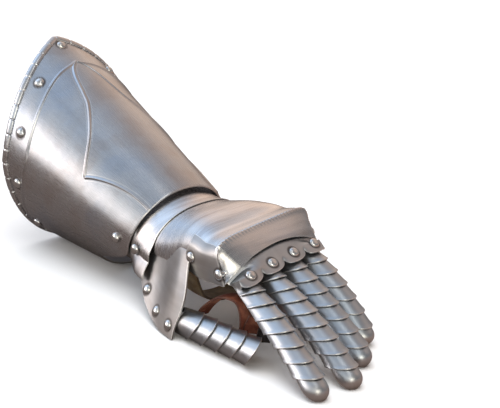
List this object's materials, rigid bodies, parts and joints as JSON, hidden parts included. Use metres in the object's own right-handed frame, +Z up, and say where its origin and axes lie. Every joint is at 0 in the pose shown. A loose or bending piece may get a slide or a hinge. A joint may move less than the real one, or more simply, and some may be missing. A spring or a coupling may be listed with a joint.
{
  "type": "armoured gauntlet",
  "caption": "Articulated steel gauntlet for the left hand, with a pointed cuff, riveted finger lames and leather straps.",
  "frame": {"origin": "centre of the bounding box in X and Y, on the surface that the gauntlet rests on", "axes": "+Y along the forearm towards the cuff's mouth, fingers towards -Y; +Z up, out of the back of the hand; -X towards the thumb"},
  "size_m": [0.1276, 0.3574, 0.1546],
  "materials": {
    "plate_steel": "satin polished, with soft grey-blue clouding",
    "lame_steel": "satin polished, darker under each overlap",
    "rivet_steel": "bright polished domes",
    "brown_leather": "matt, worn, paler at cut edges",
    "black_leather": "matt"
  },
  "bodies": {
    "cuff": {"cuff": "plate_steel", "wrist_rivet_thumb_side": "rivet_steel", "wrist_rivet_little_side": "rivet_steel"},
    "wrist": {"wrist_lame": "plate_steel"},
    "hand": {"hand_plate": "plate_steel", "hand_rivet_thumb_side": "rivet_steel", "hand_rivet_little_side": "rivet_steel", "knuckle_rivet_thumb_side": "rivet_steel", "knuckle_rivet_little_side": "rivet_steel", "thumb_lame_1": "lame_steel", "thumb_lame_2": "lame_steel", "thumb_lame_3": "lame_steel", "thumb_lame_4": "lame_steel", "thumb_lame_5": "lame_steel", "thumb_leather": "brown_leather", "palm_strap": "brown_leather", "thumb_loop": "brown_leather", "thumb_strap": "brown_leather", "thumb_tip_strap": "black_leather"},
    "knuckles": {"knuckle_plate": "plate_steel", "index_lame_1": "lame_steel", "index_lame_2": "lame_steel", "index_lame_3": "lame_steel", "index_lame_4": "lame_steel", "index_lame_5": "lame_steel", "index_lame_6": "lame_steel", "index_lame_7": "lame_steel", "index_lame_8": "lame_steel", "index_leather": "brown_leather", "middle_lame_1": "lame_steel", "middle_lame_2": "lame_steel", "middle_lame_3": "lame_steel", "middle_lame_4": "lame_steel", "middle_lame_5": "lame_steel", "middle_lame_6": "lame_steel", "middle_lame_7": "lame_steel", "middle_lame_8": "lame_steel", "middle_lame_9": "lame_steel", "middle_leather": "brown_leather", "ring_lame_1": "lame_steel", "ring_lame_2": "lame_steel", "ring_lame_3": "lame_steel", "ring_lame_4": "lame_steel", "ring_lame_5": "lame_steel", "ring_lame_6": "lame_steel", "ring_lame_7": "lame_steel", "ring_lame_8": "lame_steel", "ring_leather": "brown_leather", "little_lame_1": "lame_steel", "little_lame_2": "lame_steel", "little_lame_3": "lame_steel", "little_lame_4": "lame_steel", "little_lame_5": "lame_steel", "little_lame_6": "lame_steel", "little_lame_7": "lame_steel", "little_leather": "brown_leather"}
  },
  "joints": [
    {"name": "wrist_pivot", "type": "hinge", "parent": "cuff", "child": "wrist", "pos_m": [0.00171, 0.03755, 0.04288], "axis": [1, 0, 0], "range_deg": [-3, 10]},
    {"name": "hand_pivot", "type": "hinge", "parent": "wrist", "child": "hand", "pos_m": [0.00171, 0.01845, 0.04008], "axis": [1, 0, 0], "range_deg": [0, 15]},
    {"name": "knuckle_pivot", "type": "hinge", "parent": "hand", "child": "knuckles", "pos_m": [0.00171, -0.06985, 0.05658], "axis": [0.992, 0.0942, 0.0843], "range_deg": [-5, 7]}
  ]
}
